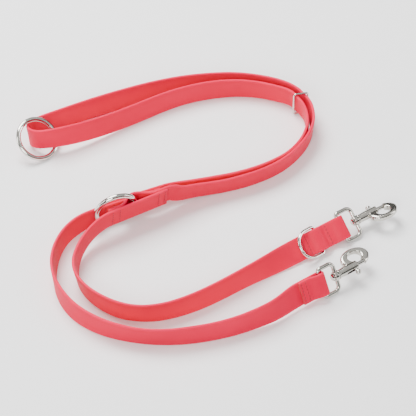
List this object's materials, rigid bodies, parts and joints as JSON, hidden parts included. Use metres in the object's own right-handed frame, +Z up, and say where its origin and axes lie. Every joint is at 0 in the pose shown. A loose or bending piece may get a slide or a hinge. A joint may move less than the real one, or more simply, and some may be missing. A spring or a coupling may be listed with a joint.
{
  "type": "training leash",
  "caption": "Adjustable multi-way training leash in coated webbing with two swivel bolt snaps, a handle ring, a joint ring, a D-ring and a strap keeper, laid out on a floor.",
  "frame": {"origin": "middle of the leash's bounding box, on the floor it lies on", "axes": "+X to the right along the floor, towards the bolt snaps; +Y away along the floor, towards the looped handle; +Z up"},
  "size_m": [0.3287, 0.313, 0.0399],
  "materials": {
    "webbing": "smooth coated webbing, satin",
    "thread": "sewing thread",
    "nickel": "polished nickel plate",
    "spring_wire": "drawn wire"
  },
  "bodies": {
    "straps": {"strap_front_leg": "webbing", "strap_rear_leg": "webbing", "strap_loop": "webbing", "stitches_snap_a": "thread", "stitches_d_ring": "thread", "stitches_snap_b": "thread", "stitches_front_joint": "thread", "stitches_rear_joint": "thread"},
    "handle_ring": {"handle_ring": "nickel"},
    "joint_ring": {"joint_ring": "nickel"},
    "d_ring": {"d_ring": "nickel"},
    "strap_keeper": {"strap_keeper": "nickel"},
    "snap_a_eye": {"snap_a_eye": "nickel"},
    "snap_a_hook": {"snap_a_hook": "nickel", "snap_a_rivet": "nickel", "snap_a_spring": "spring_wire"},
    "snap_a_bolt": {"snap_a_bolt": "nickel", "snap_a_thumb_stud": "nickel"},
    "snap_b_eye": {"snap_b_eye": "nickel"},
    "snap_b_hook": {"snap_b_hook": "nickel", "snap_b_rivet": "nickel", "snap_b_spring": "spring_wire"},
    "snap_b_bolt": {"snap_b_bolt": "nickel", "snap_b_thumb_stud": "nickel"}
  },
  "joints": [
    {"name": "handle_ring_turn", "type": "hinge", "parent": "straps", "child": "handle_ring", "pos_m": [-0.14614, 0.07518, 0.01341], "axis": [0.4353, -0.4353, 0.788], "continuous": true},
    {"name": "joint_ring_swing", "type": "hinge", "parent": "straps", "child": "joint_ring", "pos_m": [-0.05711, -0.01311, 0.02081], "axis": [0.0868, -0.1504, 0.9848], "range_deg": [-2, 8]},
    {"name": "d_ring_flip", "type": "hinge", "parent": "straps", "child": "d_ring", "pos_m": [0.09613, -0.04485, 0.00997], "axis": [-0.4394, 0.6275, 0.6428], "range_deg": [-6, 106]},
    {"name": "strap_keeper_slide", "type": "slide", "parent": "straps", "child": "strap_keeper", "axis": [0.5299, -0.848, 0], "range_m": [-0.003, 0.003]},
    {"name": "snap_a_swing", "type": "hinge", "parent": "straps", "child": "snap_a_eye", "pos_m": [0.11596, -0.03132, 0.01031], "axis": [-0.4394, 0.6275, 0.6428], "range_deg": [-90, 90]},
    {"name": "snap_a_swivel", "type": "hinge", "parent": "snap_a_eye", "child": "snap_a_hook", "pos_m": [0.11596, -0.03132, 0.01031], "axis": [0.8192, 0.5736, 0], "continuous": true},
    {"name": "snap_a_bolt_draw", "type": "slide", "parent": "snap_a_hook", "child": "snap_a_bolt", "axis": [-0.8192, -0.5736, 0], "range_m": [0, 0.0076], "stiffness_N_per_m": 150, "springref_m": -0.004},
    {"name": "snap_b_swing", "type": "hinge", "parent": "straps", "child": "snap_b_eye", "pos_m": [0.09656, -0.09842, 0.01301], "axis": [-0.2939, 0.4045, 0.866], "range_deg": [-90, 15]},
    {"name": "snap_b_swivel", "type": "hinge", "parent": "snap_b_eye", "child": "snap_b_hook", "pos_m": [0.09656, -0.09842, 0.01301], "axis": [0.809, 0.5878, 0], "continuous": true},
    {"name": "snap_b_bolt_draw", "type": "slide", "parent": "snap_b_hook", "child": "snap_b_bolt", "axis": [-0.809, -0.5878, 0], "range_m": [0, 0.0076], "stiffness_N_per_m": 150, "springref_m": -0.004}
  ]
}
